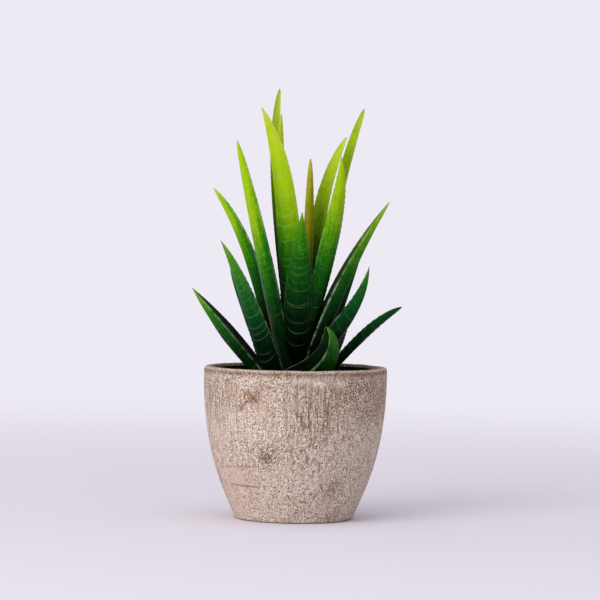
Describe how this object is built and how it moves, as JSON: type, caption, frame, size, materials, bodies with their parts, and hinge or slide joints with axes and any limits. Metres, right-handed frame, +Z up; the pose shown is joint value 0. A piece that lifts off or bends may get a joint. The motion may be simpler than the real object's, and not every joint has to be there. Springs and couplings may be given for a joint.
{
  "type": "potted succulent",
  "caption": "Small succulent rosette of thick tapering leaves in dark soil, in a tapered speckled pulp pot with a flat base.",
  "frame": {"origin": "centre of the pot's flat underside", "axes": "+Z up along the pot's axis, -Y towards the side with the broad front leaves, +X to the right of that side"},
  "size_m": [0.0922, 0.0818, 0.1874],
  "materials": {
    "pulp": "rough, speckled, unglazed",
    "soil": "matte, crumbly",
    "stem": "matte",
    "leaf_heart": "waxy satin, lime green",
    "leaf_middle": "waxy satin, leaf green",
    "leaf_low": "waxy satin, dark green"
  },
  "bodies": {
    "root": {"pot": "pulp", "soil": "soil", "stem": "stem", "leaf_heart_yellow": "leaf_heart", "leaf_heart_broad": "leaf_heart", "leaf_heart_tallest": "leaf_heart", "leaf_heart_amber": "leaf_heart", "leaf_right_broad": "leaf_middle", "leaf_back_right": "leaf_middle", "leaf_back_right_tall": "leaf_middle", "leaf_left_tall": "leaf_middle", "leaf_front_centre": "leaf_middle", "leaf_back_centre": "leaf_middle", "leaf_right_channelled": "leaf_middle", "leaf_left_mid": "leaf_middle", "leaf_right_second": "leaf_middle", "leaf_back_left": "leaf_low", "leaf_front_left": "leaf_low", "leaf_left_second": "leaf_low", "leaf_front_right_curled": "leaf_low", "leaf_far_left_low": "leaf_low", "leaf_right_low": "leaf_low", "leaf_far_right_low": "leaf_low", "leaf_back_low_left": "leaf_low", "leaf_back_low_right": "leaf_low", "leaf_back_low_centre": "leaf_low"}
  },
  "joints": []
}
